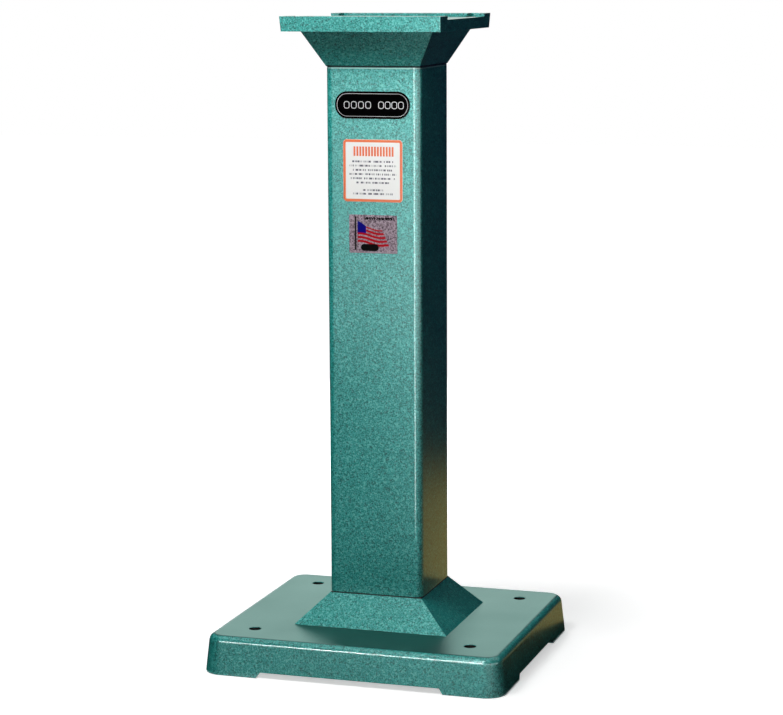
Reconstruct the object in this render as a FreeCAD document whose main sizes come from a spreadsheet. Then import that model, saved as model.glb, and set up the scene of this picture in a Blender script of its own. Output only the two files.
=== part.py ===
import FreeCAD, Part
import math
import os
import Sketcher
from FreeCAD import Vector

# Bench grinder stand: a cast base, a square tube post trapped between two hollow pyramid collars, and
# a channelled machine plate, all drawn together by one tie rod down the middle of the post.
# Millimetres, +Z up, X along the machine plate's channel, origin on the floor under the post's axis.

# Edges and faces this close to a height or a direction count as there.
TOLERANCE = 1e-4

document = FreeCAD.newDocument("bench_grinder_stand")
sheet = document.addObject("Spreadsheet::Sheet", "sizes")

DRIVING_SIZES = {
    # Base casting
    "base_length": 405,  # over the feet, along X
    "base_depth": 358,  # over the feet, along Y
    "base_height": 50,  # floor to the flat top
    "skirt_lean": 6,  # how far each side of the skirt leans in by the top
    "base_corner_radius": 27,  # plan radius at the feet
    "base_top_radius": 9.5,  # round of the top edge
    "skirt_wall": 8,  # skirt thickness
    "base_deck": 9,  # thickness of the flat top
    "foot_length": 77,  # run of each corner foot along X, at the floor
    "foot_depth": 89,  # run of each corner foot along Y, at the floor
    "gap_height": 7.5,  # clearance under the skirt between feet
    "gap_slope": 5,  # run of the sloped end of each gap
    "rib_thickness": 8,  # cross ribs under the deck
    "rib_lift": 12,  # floor to the underside of the ribs
    "anchor_inset_x": 56.5,  # end of the base to the floor bolt holes
    "anchor_inset_y": 55,  # front or back of the base to the floor bolt holes
    "anchor_hole": 16,  # diameter
    "anchor_boss": 38,  # diameter of the boss under each floor bolt hole
    "boss_drop": 8,  # how far bosses stand below the deck's underside
    "rod_boss": 62,  # diameter of the middle boss
    # Lower collar
    "lower_collar_length": 208,  # foot of the pyramid along X
    "lower_collar_depth": 178.5,  # foot of the pyramid along Y
    "lower_collar_height": 41,  # base deck to the post
    "lower_collar_reveal": 1.7,  # how far the post stands proud of the pyramid's top
    "collar_screw_inset": 38,  # edge of the pyramid's foot to its screws, both ways
    "lower_boss": 25,  # diameter of the tapped bosses
    "lower_boss_height": 22,  # tapped bosses above the deck
    # Both collars
    "collar_skin": 12,  # level thickness of the lower pyramid's foot
    "spigot_height": 15,  # how far each spigot enters the tube
    "spigot_wall": 8,  # spigot thickness
    "spigot_clearance": 0.3,  # play between spigot and tube, each side
    # Post tube
    "post_width": 127,  # square tube, across flats
    "post_wall": 4.8,  # tube wall
    "post_corner_radius": 8,  # outside corner
    "post_inner_radius": 3.2,  # inside corner, and the spigots' corners
    "post_length": 688,  # sawn length
    "post_end_chamfer": 0.8,  # broken outside edge of the sawn ends
    # Upper collar
    "upper_collar_reveal": 1.3,  # how far the post stands proud of the flare's foot
    "upper_collar_top": 175,  # square flare under the machine plate
    "upper_collar_height": 45,  # post to machine plate
    "upper_deck": 10,  # thickness of the flare's closed top
    "nut_pocket_depth": 8,  # counterbore that sinks the top nut
    "nut_pocket_room": 1.7,  # play between the counterbore and the washer's corners, each side
    "nut_pocket_wall": 9,  # boss left round the counterbore
    # Machine plate
    "plate_length": 212,  # top face along X, the way the channel runs
    "plate_depth": 231,  # top face along Y
    "plate_height": 19,  # underside to the tops of the rails
    "plate_lean_x": 1,  # how far each end leans in by the underside
    "plate_lean_y": 3,  # how far front and back lean in by the underside
    "plate_edge_radius": 1.5,  # round of the upright corners
    "rail_width": 31,  # rails along front and back
    "channel_depth": 4.5,  # rail tops to channel floor
    "machine_inset_x": 17.1,  # end of the plate to the machine bolt holes
    "machine_inset_y": 18.5,  # front or back of the plate to the machine bolt holes
    "machine_hole": 12.7,  # diameter, and width of the notch that opens it to the channel
    "plate_screw_inset": 35.5,  # edge of the flare's top to its screws, both ways
    # Tie rod and screws
    "rod_diameter": 16,  # M16 rod
    "rod_clearance": 1,  # play round the rod in its holes and washers, each side
    "rod_past_nut": 3,  # thread left standing past each nut
    "rod_nut_width": 24,  # across flats
    "rod_nut_height": 13,  # nut height
    "rod_washer_ledge": 3,  # how far the square washer stands past the nut's flats
    "rod_washer_thickness": 3,  # washer thickness
    "thread_clearance": 0.1,  # gap round every thread, on the radius
    "screw_clearance": 0.5,  # play round a screw in its clearance hole, each side
    "collar_screw": 10,  # M10 hexagon screws
    "collar_screw_bite": 16,  # thread taken up in the collar
    "collar_screw_head": 16,  # across flats
    "collar_screw_head_height": 6.4,  # head height
    "plate_screw": 8,  # M8 hexagon screws
    "plate_screw_bite": 10,  # thread taken up in the machine plate
    "plate_screw_head": 13,  # across flats
    "plate_screw_head_height": 5.3,  # head height
    "tap_runout": 2,  # depth of a tapped hole beyond its screw
    "rod_end_chamfer": 1.2,  # broken ends of the rod
    # Plate and labels on the post
    "nameplate_length": 100,  # along X
    "nameplate_height": 34.5,  # along Z
    "nameplate_corner": 16.5,  # end radius
    "nameplate_thickness": 1,  # pressed plate
    "nameplate_drop": 48.5,  # top of the post to its middle
    "notice_length": 79.5,  # along X
    "notice_height": 79.5,  # along Z
    "notice_corner": 5,  # corner radius
    "notice_drop": 132,  # top of the post to its middle
    "foil_length": 64.5,  # along X
    "foil_height": 49,  # along Z
    "foil_corner": 1,  # corner radius
    "foil_drop": 213,  # top of the post to its middle
    "label_thickness": 0.3,  # printed film
}


def fill_sheet():
    """Write every driving size once, one row each: its name, and its value under that alias."""
    for row, (name, value) in enumerate(DRIVING_SIZES.items(), 1):
        sheet.set(f"A{row}", name)
        sheet.set(f"B{row}", str(value))
        sheet.setAlias(f"B{row}", name)
    document.recompute()


def size(name):
    """A driving size as the sheet holds it, in millimetres."""
    return float(sheet.get(name))


# Worked sizes, as expressions on the sheet.
DECK_UNDERSIDE = "(sizes.base_height - sizes.base_deck)"
BOSS_FACE = f"({DECK_UNDERSIDE} - sizes.boss_drop)"
POST_FOOT = "(sizes.base_height + sizes.lower_collar_height)"
POST_HEAD = f"({POST_FOOT} + sizes.post_length)"
PLATE_SEAT = f"({POST_HEAD} + sizes.upper_collar_height)"
TUBE_BORE = "(sizes.post_width - 2 * sizes.post_wall)"
SPIGOT_WIDTH = f"({TUBE_BORE} - 2 * sizes.spigot_clearance)"
SPIGOT_BORE = f"({SPIGOT_WIDTH} - 2 * sizes.spigot_wall)"
LOWER_TOP = "(sizes.post_width - 2 * sizes.lower_collar_reveal)"
UPPER_FOOT = "(sizes.post_width - 2 * sizes.upper_collar_reveal)"
UPPER_CEILING = "(sizes.upper_collar_height - sizes.upper_deck)"
UPPER_NUT_SEAT = "(sizes.upper_collar_height - sizes.nut_pocket_depth)"
CHANNEL_WIDTH = "(sizes.plate_depth - 2 * sizes.rail_width)"
CHANNEL_FLOOR = "(sizes.plate_height - sizes.channel_depth)"
ROD_LOWER_NUT_FACE = f"({BOSS_FACE} - sizes.rod_washer_thickness)"
ROD_LOWER_END = f"({ROD_LOWER_NUT_FACE} - sizes.rod_nut_height - sizes.rod_past_nut)"
ROD_UPPER_SEAT = f"({POST_HEAD} + {UPPER_NUT_SEAT})"
ROD_UPPER_NUT_FACE = f"({ROD_UPPER_SEAT} + sizes.rod_washer_thickness)"
ROD_UPPER_END = f"({ROD_UPPER_NUT_FACE} + sizes.rod_nut_height + sizes.rod_past_nut)"
TAPPED = "2 * sizes.thread_clearance"
ANCHOR_SPACING_X = "(sizes.base_length - 2 * sizes.anchor_inset_x)"
ANCHOR_SPACING_Y = "(sizes.base_depth - 2 * sizes.anchor_inset_y)"
COLLAR_SCREW_SPACING_X = "(sizes.lower_collar_length - 2 * sizes.collar_screw_inset)"
COLLAR_SCREW_SPACING_Y = "(sizes.lower_collar_depth - 2 * sizes.collar_screw_inset)"
PLATE_SCREW_SPACING = "(sizes.upper_collar_top - 2 * sizes.plate_screw_inset)"
MACHINE_SPACING_X = "(sizes.plate_length - 2 * sizes.machine_inset_x)"
MACHINE_SPACING_Y = "(sizes.plate_depth - 2 * sizes.machine_inset_y)"
ROD_HOLE = "(sizes.rod_diameter + 2 * sizes.rod_clearance)"
ROD_WASHER = "(sizes.rod_nut_width + 2 * sizes.rod_washer_ledge)"
NUT_POCKET = f"({ROD_WASHER} * sqrt(2) + 2 * sizes.nut_pocket_room)"
COLLAR_SCREW_HOLE = "(sizes.collar_screw + 2 * sizes.screw_clearance)"
PLATE_SCREW_HOLE = "(sizes.plate_screw + 2 * sizes.screw_clearance)"
COLLAR_SCREW_LENGTH = "(sizes.base_deck + sizes.collar_screw_bite)"
PLATE_SCREW_LENGTH = "(sizes.upper_deck + sizes.plate_screw_bite)"


def origin_plane(body, role):
    """One of a body's own origin planes, by its role."""
    return [feature for feature in body.Origin.OriginFeatures if feature.Role == role][0]


class Sketch:
    """A sketch on one of a body's own origin planes, lifted off it by an expression."""

    def __init__(self, body, name, lift=None, plane="XY_Plane"):
        """Attach an empty sketch to the named origin plane of the body."""
        self.sketch = body.newObject("Sketcher::SketchObject", name)
        self.sketch.AttachmentSupport = [(origin_plane(body, plane), "")]
        self.sketch.MapMode = "FlatFace"
        if lift is not None:
            self.sketch.setExpression(".AttachmentOffset.Base.z", lift)

    def bind(self, kind, *references, expression, start):
        """Add a dimensional constraint and tie it to an expression on the sheet."""
        index = self.sketch.addConstraint(Sketcher.Constraint(kind, *references, start))
        self.sketch.setExpression(f"Constraints[{index}]", expression)

    def line(self, start, end):
        """Draw one line between two points and return its number."""
        return self.sketch.addGeometry(Part.LineSegment(Vector(*start, 0), Vector(*end, 0)), False)

    def relate(self, *terms):
        """Add a constraint that carries no dimension."""
        self.sketch.addConstraint(Sketcher.Constraint(*terms))

    def locate(self, number, point, x, y):
        """Fix a point of the drawn geometry by signed distances from the sketch's origin."""
        self.bind("DistanceX", -1, 1, number, point, expression=x, start=evaluate(x))
        self.bind("DistanceY", -1, 1, number, point, expression=y, start=evaluate(y))

    def polygon(self, corners):
        """A closed outline through corners given as (x expression, y expression) pairs."""
        points = [tuple(evaluate(value) for value in corner) for corner in corners]
        sides = [self.line(start, end) for start, end in zip(points, points[1:] + points[:1])]
        for side, after, corner in zip(sides, sides[1:] + sides[:1], corners):
            self.relate("Coincident", side, 2, after, 1)
            self.locate(side, 1, *corner)
        return self

    def rectangle(self, length, depth):
        """A sharp rectangle about the origin."""
        x, y = f"{length} / 2", f"{depth} / 2"
        return self.polygon([(f"-({x})", f"-({y})"), (x, f"-({y})"), (x, y), (f"-({x})", y)])

    def rounded_rectangle(self, length, depth, radius):
        """A rectangle about the origin with four equal corner arcs, tangent to its sides."""
        half_x, half_y, corner = evaluate(length) / 2, evaluate(depth) / 2, evaluate(radius)
        inner_x, inner_y = half_x - corner, half_y - corner
        arcs = []
        for turn, (side_x, side_y) in enumerate(((1, 1), (-1, 1), (-1, -1), (1, -1))):
            circle = Part.Circle(Vector(side_x * inner_x, side_y * inner_y, 0), Vector(0, 0, 1), corner)
            arc = Part.ArcOfCircle(circle, turn * math.pi / 2, (turn + 1) * math.pi / 2)
            arcs.append(self.sketch.addGeometry(arc, False))
        top = self.line((inner_x, half_y), (-inner_x, half_y))
        left = self.line((-half_x, inner_y), (-half_x, -inner_y))
        bottom = self.line((-inner_x, -half_y), (inner_x, -half_y))
        right = self.line((half_x, -inner_y), (half_x, inner_y))
        for arc, before, after in zip(arcs, (right, top, left, bottom), (top, left, bottom, right)):
            self.relate("Tangent", before, 2, arc, 1)
            self.relate("Tangent", arc, 2, after, 1)
        for level_side, upright_side in ((top, left), (bottom, right)):
            self.relate("Horizontal", level_side)
            self.relate("Vertical", upright_side)
        for arc in arcs[1:]:
            self.relate("Equal", arcs[0], arc)
        self.bind("Radius", arcs[0], expression=radius, start=corner)
        self.bind("DistanceX", -1, 1, right, 1, expression=f"{length} / 2", start=half_x)
        self.bind("DistanceX", left, 1, -1, 1, expression=f"{length} / 2", start=half_x)
        self.bind("DistanceY", -1, 1, top, 1, expression=f"{depth} / 2", start=half_y)
        self.bind("DistanceY", bottom, 1, -1, 1, expression=f"{depth} / 2", start=half_y)
        return self

    def circle(self, diameter, x="0", y="0"):
        """A circle at signed distances from the sketch's origin."""
        centre = Vector(evaluate(x), evaluate(y), 0)
        curve = Part.Circle(centre, Vector(0, 0, 1), evaluate(diameter) / 2)
        number = self.sketch.addGeometry(curve, False)
        self.bind("Diameter", number, expression=diameter, start=evaluate(diameter))
        if x == "0" and y == "0":
            self.relate("Coincident", number, 3, -1, 1)
        else:
            self.locate(number, 3, x, y)
        return self

    def four_circles(self, diameter, spacing_x, spacing_y):
        """Equal circles at the corners of a rectangle about the origin."""
        for sx in ("", "-"):
            for sy in ("", "-"):
                self.circle(diameter, f"{sx}({spacing_x} / 2)", f"{sy}({spacing_y} / 2)")
        return self

    def hexagon(self, across_flats, x="0", y="0"):
        """A hexagon with two flats facing along Y, sized across its flats."""
        point, flat = f"({across_flats} / cos(30))", f"({across_flats} / 2)"
        half = f"({point} / 4)"
        return self.polygon([
            (f"{x} + {point} / 2", y),
            (f"{x} + {half}", f"{y} + {flat}"),
            (f"{x} - {half}", f"{y} + {flat}"),
            (f"{x} - {point} / 2", y),
            (f"{x} - {half}", f"{y} - {flat}"),
            (f"{x} + {half}", f"{y} - {flat}"),
        ])


def evaluate(expression):
    """The value of an expression on the sheet, which starts a constraint near its answer."""
    value = sheet.evalExpression(expression)
    return float(getattr(value, "Value", value))


def new_body(label, lift=None):
    """A body whose placement stands at a height given by an expression."""
    body = document.addObject("PartDesign::Body", label)
    body.Label = label
    if lift is not None:
        body.setExpression(".Placement.Base.z", lift)
    return body


def extrude(body, kind, name, sketch, length=None, down=False, taper=None, through=False, both=False):
    """A pad or pocket of a sketch; a pocket runs down its sketch's normal unless told otherwise."""
    feature = body.newObject(f"PartDesign::{kind}", name)
    feature.Profile = sketch.sketch
    feature.Refine = True
    if through:
        feature.Type = "ThroughAll"
    else:
        feature.setExpression("Length", length)
    if taper is not None:
        feature.setExpression("TaperAngle", taper)
    feature.Midplane = both
    feature.Reversed = down if kind == "Pad" else not down
    document.recompute()
    return feature


def pad(body, name, sketch, length, **options):
    """Add a sketch's outline, upwards unless down is set."""
    return extrude(body, "Pad", name, sketch, length, **options)


def pocket(body, name, sketch, length=None, **options):
    """Cut a sketch's outline, upwards unless down is set, and check that it removed something."""
    before = body.Shape.Volume
    feature = extrude(body, "Pocket", name, sketch, length, **options)
    if not body.Shape.Volume < before:
        raise RuntimeError(f"{body.Label}: {name} cuts nothing")
    return feature


def sides_at(axis, reach):
    """A test for the two flat upright faces square to an axis, at a reach either side of the middle."""
    def test(face):
        square = isinstance(face.Surface, Part.Plane) and abs(getattr(face.Surface.Axis, axis)) > 1 - TOLERANCE
        return square and abs(abs(getattr(face.CenterOfMass, axis)) - reach) < TOLERANCE
    return test


def lean(body, name, base, axis, width, run, rise, swell):
    """Draft a pair of upright faces about the body's foot plane, adding metal above it or taking it off."""
    wanted = sides_at(axis, evaluate(width) / 2)
    faces = [f"Face{number}" for number, face in enumerate(base.Shape.Faces, 1) if wanted(face)]
    if len(faces) != 2:
        raise RuntimeError(f"{body.Label}: {name} finds {len(faces)} faces")
    draft = body.newObject("PartDesign::Draft", name)
    draft.Base = (base, faces)
    draft.NeutralPlane = (origin_plane(body, "XY_Plane"), [""])
    draft.setExpression("Angle", f"atan({run} / {rise})")
    draft.Reversed = swell
    document.recompute()
    return draft


def dress(body, kind, name, base, wanted, amount):
    """Round or chamfer the edges of a feature that the test picks out."""
    edges = [f"Edge{number}" for number, edge in enumerate(base.Shape.Edges, 1) if wanted(edge)]
    if not edges:
        raise RuntimeError(f"{body.Label}: {name} finds no edges")
    feature = body.newObject(f"PartDesign::{kind}", name)
    feature.Base = (base, edges)
    feature.setExpression("Radius" if kind == "Fillet" else "Size", amount)
    document.recompute()
    return feature


def lies_level(edge):
    """A test for edges that lie flat."""
    return edge.BoundBox.ZLength < TOLERANCE


def level_at(height):
    """A test for edges that lie flat at a height above the body's own origin."""
    def test(edge):
        box = edge.BoundBox
        return abs(box.ZMin - height) < TOLERANCE and abs(box.ZMax - height) < TOLERANCE
    return test


def build_base_casting():
    """Drafted skirt on four corner feet, hollow beneath, with cross ribs and bosses under the deck."""
    body = new_body("base_casting")
    draft = "atan(sizes.skirt_lean / sizes.base_height)"
    outline = Sketch(body, "skirt_outline")
    outline.rounded_rectangle("sizes.base_length", "sizes.base_depth", "sizes.base_corner_radius")
    skirt = pad(body, "skirt", outline, "sizes.base_height", taper=f"-{draft}")
    dress(body, "Fillet", "top_round", skirt, level_at(size("base_height")), "sizes.base_top_radius")

    cavity = Sketch(body, "cavity_outline")
    cavity.rounded_rectangle(
        "(sizes.base_length - 2 * sizes.skirt_wall)",
        "(sizes.base_depth - 2 * sizes.skirt_wall)",
        "(sizes.base_corner_radius - sizes.skirt_wall)",
    )
    pocket(body, "cavity", cavity, DECK_UNDERSIDE, taper=f"-{draft}")

    # The ribs end inside the leaning skirt wall, a quarter of the wall in from its outer face at the top.
    reach_x = "(sizes.base_length - 2 * sizes.skirt_lean - sizes.skirt_wall / 2)"
    reach_y = "(sizes.base_depth - 2 * sizes.skirt_lean - sizes.skirt_wall / 2)"
    rib_height = f"({DECK_UNDERSIDE} - sizes.rib_lift)"
    long_rib = Sketch(body, "long_rib_outline", "sizes.rib_lift")
    long_rib.rectangle(reach_x, "sizes.rib_thickness")
    pad(body, "long_rib", long_rib, rib_height)
    cross_rib = Sketch(body, "cross_rib_outline", "sizes.rib_lift")
    cross_rib.rectangle("sizes.rib_thickness", reach_y)
    pad(body, "cross_rib", cross_rib, rib_height)

    bosses = Sketch(body, "boss_outlines", BOSS_FACE)
    bosses.four_circles("sizes.anchor_boss", ANCHOR_SPACING_X, ANCHOR_SPACING_Y)
    bosses.circle("sizes.rod_boss")
    pad(body, "bosses", bosses, "sizes.boss_drop")

    # The ribs stop short of the middle boss, which leaves a level seat for the rod's washer and nut.
    rod_seat = Sketch(body, "rod_seat_outline", BOSS_FACE).circle("sizes.rod_boss")
    pocket(body, "rod_seat", rod_seat, BOSS_FACE, down=True)

    front_gap = Sketch(body, "front_gap_outline", plane="XZ_Plane")
    front_gap.polygon(gap_corners("(sizes.base_length - 2 * sizes.foot_length)"))
    pocket(body, "front_and_rear_gap", front_gap, "2 * sizes.base_depth", both=True)
    side_gap = Sketch(body, "side_gap_outline", plane="YZ_Plane")
    side_gap.polygon(gap_corners("(sizes.base_depth - 2 * sizes.foot_depth)"))
    pocket(body, "side_gaps", side_gap, "2 * sizes.base_length", both=True)

    holes = Sketch(body, "hole_outlines", "sizes.base_height")
    holes.four_circles("sizes.anchor_hole", ANCHOR_SPACING_X, ANCHOR_SPACING_Y)
    holes.four_circles(COLLAR_SCREW_HOLE, COLLAR_SCREW_SPACING_X, COLLAR_SCREW_SPACING_Y)
    holes.circle(ROD_HOLE)
    pocket(body, "holes", holes, through=True, down=True)
    return body


def gap_corners(run):
    """The low gap between two feet; its sloped ends pass through the floor where the feet begin."""
    wide, narrow = f"({run} / 2 + sizes.gap_slope)", f"({run} / 2 - sizes.gap_slope)"
    return [
        (f"-{wide}", "-sizes.gap_height"),
        (wide, "-sizes.gap_height"),
        (narrow, "sizes.gap_height"),
        (f"-{narrow}", "sizes.gap_height"),
    ]


def build_lower_collar():
    """Hollow cast pyramid on the deck, with a square spigot up into the tube and four tapped bosses."""
    body = new_body("lower_collar", "sizes.base_height")
    foot = Sketch(body, "foot")
    foot.rectangle("sizes.lower_collar_length", "sizes.lower_collar_depth")
    pad(body, "block", foot, "sizes.lower_collar_height")
    inner_length = "(sizes.lower_collar_length - 2 * sizes.collar_skin)"
    inner_depth = "(sizes.lower_collar_depth - 2 * sizes.collar_skin)"
    inner_foot = Sketch(body, "inner_foot")
    inner_foot.rectangle(inner_length, inner_depth)
    shell = pocket(body, "hollow", inner_foot, "sizes.lower_collar_height")
    for name, axis, width, top, swell in (
        ("right_and_left", "x", "sizes.lower_collar_length", LOWER_TOP, False),
        ("front_and_rear", "y", "sizes.lower_collar_depth", LOWER_TOP, False),
        ("inner_right_and_left", "x", inner_length, SPIGOT_BORE, True),
        ("inner_front_and_rear", "y", inner_depth, SPIGOT_BORE, True),
    ):
        run = f"(({width} - {top}) / 2)"
        shell = lean(body, name, shell, axis, width, run, "sizes.lower_collar_height", swell)
    spigot = Sketch(body, "spigot_outline", "sizes.lower_collar_height")
    spigot.rounded_rectangle(SPIGOT_WIDTH, SPIGOT_WIDTH, "sizes.post_inner_radius")
    spigot.rectangle(SPIGOT_BORE, SPIGOT_BORE)
    pad(body, "spigot", spigot, "sizes.spigot_height")
    bosses = Sketch(body, "boss_outlines")
    bosses.four_circles("sizes.lower_boss", COLLAR_SCREW_SPACING_X, COLLAR_SCREW_SPACING_Y)
    pad(body, "bosses", bosses, "sizes.lower_boss_height")
    holes = Sketch(body, "tapped_outlines")
    holes.four_circles(f"(sizes.collar_screw + {TAPPED})", COLLAR_SCREW_SPACING_X, COLLAR_SCREW_SPACING_Y)
    pocket(body, "tapped_holes", holes, "sizes.collar_screw_bite + sizes.tap_runout")
    return body


def build_post_tube():
    """Square tube with rounded corners, sawn square at both ends."""
    body = new_body("post_tube", POST_FOOT)
    section = Sketch(body, "section")
    section.rounded_rectangle("sizes.post_width", "sizes.post_width", "sizes.post_corner_radius")
    section.rounded_rectangle(TUBE_BORE, TUBE_BORE, "sizes.post_inner_radius")
    tube = pad(body, "tube", section, "sizes.post_length")
    wall_middle = evaluate(TUBE_BORE) / 2 + size("post_wall") / 2

    def outside_of_an_end(edge):
        box = edge.BoundBox
        reach = max(box.XMax, -box.XMin, box.YMax, -box.YMin)
        return box.ZLength < TOLERANCE and reach > wall_middle

    dress(body, "Chamfer", "sawn_edges", tube, outside_of_an_end, "sizes.post_end_chamfer")
    return body


def build_upper_collar():
    """Hollow cast flare under the machine plate, closed on top, with a spigot down into the tube."""
    body = new_body("upper_collar", POST_HEAD)
    foot = Sketch(body, "foot")
    foot.rectangle(UPPER_FOOT, UPPER_FOOT)
    pad(body, "block", foot, "sizes.upper_collar_height")
    inner_foot = Sketch(body, "inner_foot")
    inner_foot.rectangle(SPIGOT_BORE, SPIGOT_BORE)
    flare = pocket(body, "hollow", inner_foot, UPPER_CEILING)
    run = f"((sizes.upper_collar_top - {UPPER_FOOT}) / 2)"
    for name, axis, width, swell in (
        ("right_and_left", "x", UPPER_FOOT, True),
        ("front_and_rear", "y", UPPER_FOOT, True),
        ("inner_right_and_left", "x", SPIGOT_BORE, False),
        ("inner_front_and_rear", "y", SPIGOT_BORE, False),
    ):
        flare = lean(body, name, flare, axis, width, run, "sizes.upper_collar_height", swell)
    spigot = Sketch(body, "spigot_outline")
    spigot.rounded_rectangle(SPIGOT_WIDTH, SPIGOT_WIDTH, "sizes.post_inner_radius")
    spigot.rectangle(SPIGOT_BORE, SPIGOT_BORE)
    pad(body, "spigot", spigot, "sizes.spigot_height", down=True)
    rod_boss = Sketch(body, "rod_boss_outline", UPPER_CEILING)
    rod_boss.circle(f"({NUT_POCKET} + 2 * sizes.nut_pocket_wall)")
    pad(body, "rod_boss", rod_boss, "sizes.nut_pocket_depth", down=True)
    nut_pocket = Sketch(body, "nut_pocket_outline", "sizes.upper_collar_height")
    nut_pocket.circle(NUT_POCKET)
    pocket(body, "nut_pocket", nut_pocket, "sizes.nut_pocket_depth", down=True)
    holes = Sketch(body, "hole_outlines", "sizes.upper_collar_height")
    holes.circle(ROD_HOLE)
    holes.four_circles(PLATE_SCREW_HOLE, PLATE_SCREW_SPACING, PLATE_SCREW_SPACING)
    pocket(body, "holes", holes, through=True, down=True)
    return body


def build_top_plate():
    """Machine plate: a shallow channel between two rails, its bolt holes notched open to the channel."""
    body = new_body("top_plate", PLATE_SEAT)
    under_length = "(sizes.plate_length - 2 * sizes.plate_lean_x)"
    under_depth = "(sizes.plate_depth - 2 * sizes.plate_lean_y)"
    under = Sketch(body, "underside")
    under.rectangle(under_length, under_depth)
    slab = pad(body, "slab", under, "sizes.plate_height")
    for name, axis, width, run in (
        ("ends", "x", under_length, "sizes.plate_lean_x"),
        ("front_and_rear", "y", under_depth, "sizes.plate_lean_y"),
    ):
        slab = lean(body, name, slab, axis, width, run, "sizes.plate_height", swell=True)

    def upright(edge):
        return edge.BoundBox.ZLength > size("plate_height") / 2

    dress(body, "Fillet", "corners", slab, upright, "sizes.plate_edge_radius")
    channel = Sketch(body, "channel_outline", "sizes.plate_height")
    channel.rectangle("(2 * sizes.plate_length)", CHANNEL_WIDTH)
    pocket(body, "channel", channel, "sizes.channel_depth", down=True)
    notches = Sketch(body, "notch_outlines", "sizes.plate_height")
    hole_y = f"({MACHINE_SPACING_Y} / 2)"
    for side in ("", "-"):
        left = f"({side}({MACHINE_SPACING_X} / 2) - sizes.machine_hole / 2)"
        right = f"({side}({MACHINE_SPACING_X} / 2) + sizes.machine_hole / 2)"
        notches.polygon([(left, f"-{hole_y}"), (right, f"-{hole_y}"), (right, hole_y), (left, hole_y)])
    pocket(body, "notches", notches, "sizes.channel_depth", down=True)
    holes = Sketch(body, "hole_outlines", "sizes.plate_height")
    holes.four_circles("sizes.machine_hole", MACHINE_SPACING_X, MACHINE_SPACING_Y)
    holes.circle(NUT_POCKET)
    pocket(body, "holes", holes, through=True, down=True)
    tapped = Sketch(body, "tapped_outlines")
    tapped.four_circles(f"(sizes.plate_screw + {TAPPED})", PLATE_SCREW_SPACING, PLATE_SCREW_SPACING)
    pocket(body, "tapped_holes", tapped, "sizes.plate_screw_bite + sizes.tap_runout")
    return body


def build_tie_rod():
    """Threaded rod down the middle of the post, from under the base to inside the flare."""
    body = new_body("tie_rod", ROD_LOWER_END)
    outline = Sketch(body, "rod_outline").circle("sizes.rod_diameter")
    rod = pad(body, "rod", outline, f"{ROD_UPPER_END} - {ROD_LOWER_END}")
    dress(body, "Chamfer", "ends", rod, lies_level, "sizes.rod_end_chamfer")
    return body


def build_rod_washers():
    """Two square plate washers, one on the underside's middle boss and one in the flare's counterbore."""
    body = new_body("tie_rod_washers")
    body.AllowCompound = True
    for name, lift in (("lower_washer", ROD_LOWER_NUT_FACE), ("upper_washer", ROD_UPPER_SEAT)):
        outline = Sketch(body, f"{name}_outline", lift).circle(ROD_HOLE)
        outline.rectangle(ROD_WASHER, ROD_WASHER)
        pad(body, name, outline, "sizes.rod_washer_thickness")
    return body


# A nut's flat face is a circle a little smaller than its flats. The cone round it runs out past its points.
NUT_FACE_SHARE = 0.95
PAST_POINTS_SHARE = 1.25


def turn_points(body, name, across_flats, face, away):
    """Turn a hexagon's points back at 30 degrees from a face; away is the sign that leads into the nut."""
    inner = f"({across_flats} / 2 * {NUT_FACE_SHARE})"
    outer = f"({across_flats} / 2 * {PAST_POINTS_SHARE})"
    drop = f"({outer} - {inner}) * tan(30)"
    ring = Sketch(body, f"{name}_outline", plane="XZ_Plane")
    ring.polygon([(inner, face), (outer, f"{face} {away} {drop}"), (outer, face)])
    before = body.Shape.Volume
    groove = body.newObject("PartDesign::Groove", name)
    groove.Profile = ring.sketch
    groove.ReferenceAxis = (ring.sketch, ["V_Axis"])
    groove.Angle = 360
    document.recompute()
    if not body.Shape.Volume < before:
        raise RuntimeError(f"{body.Label}: {name} cuts nothing")
    return groove


def build_rod_nuts():
    """Two M16 nuts, each with the points of its outer face turned back."""
    body = new_body("tie_rod_nuts")
    body.AllowCompound = True
    lower_face = f"({ROD_LOWER_NUT_FACE} - sizes.rod_nut_height)"
    upper_face = f"({ROD_UPPER_NUT_FACE} + sizes.rod_nut_height)"
    for name, lift in (("lower_nut", lower_face), ("upper_nut", ROD_UPPER_NUT_FACE)):
        section = Sketch(body, f"{name}_outline", lift).hexagon("sizes.rod_nut_width")
        section.circle(f"(sizes.rod_diameter + {TAPPED})")
        pad(body, name, section, "sizes.rod_nut_height")
    turn_points(body, "lower_points", "sizes.rod_nut_width", lower_face, "+")
    turn_points(body, "upper_points", "sizes.rod_nut_width", upper_face, "-")
    return body


def mirror_to_four(body, features):
    """Repeat features at the four corners by mirroring across both upright origin planes."""
    repeat = body.newObject("PartDesign::MultiTransform", "four_off")
    repeat.Originals = features
    mirrors = []
    for role in ("YZ_Plane", "XZ_Plane"):
        mirror = body.newObject("PartDesign::Mirrored", f"across_{role.lower()}")
        mirror.MirrorPlane = (origin_plane(body, role), [""])
        mirrors.append(mirror)
    repeat.Transformations = mirrors
    body.Tip = repeat
    document.recompute()
    return repeat


def build_screws(label, family, seat, length, spacing_x, spacing_y):
    """Four hexagon screws up through a seat from below; family starts the names of their sizes."""
    body = new_body(label, seat)
    body.AllowCompound = True
    x, y = f"({spacing_x} / 2)", f"({spacing_y} / 2)"
    shank_outline = Sketch(body, "shank_outline").circle(f"sizes.{family}", x, y)
    shank = pad(body, "shank", shank_outline, length)
    head_outline = Sketch(body, "head_outline").hexagon(f"sizes.{family}_head", x, y)
    head = pad(body, "head", head_outline, f"sizes.{family}_head_height", down=True)
    mirror_to_four(body, [shank, head])
    return body


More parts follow.
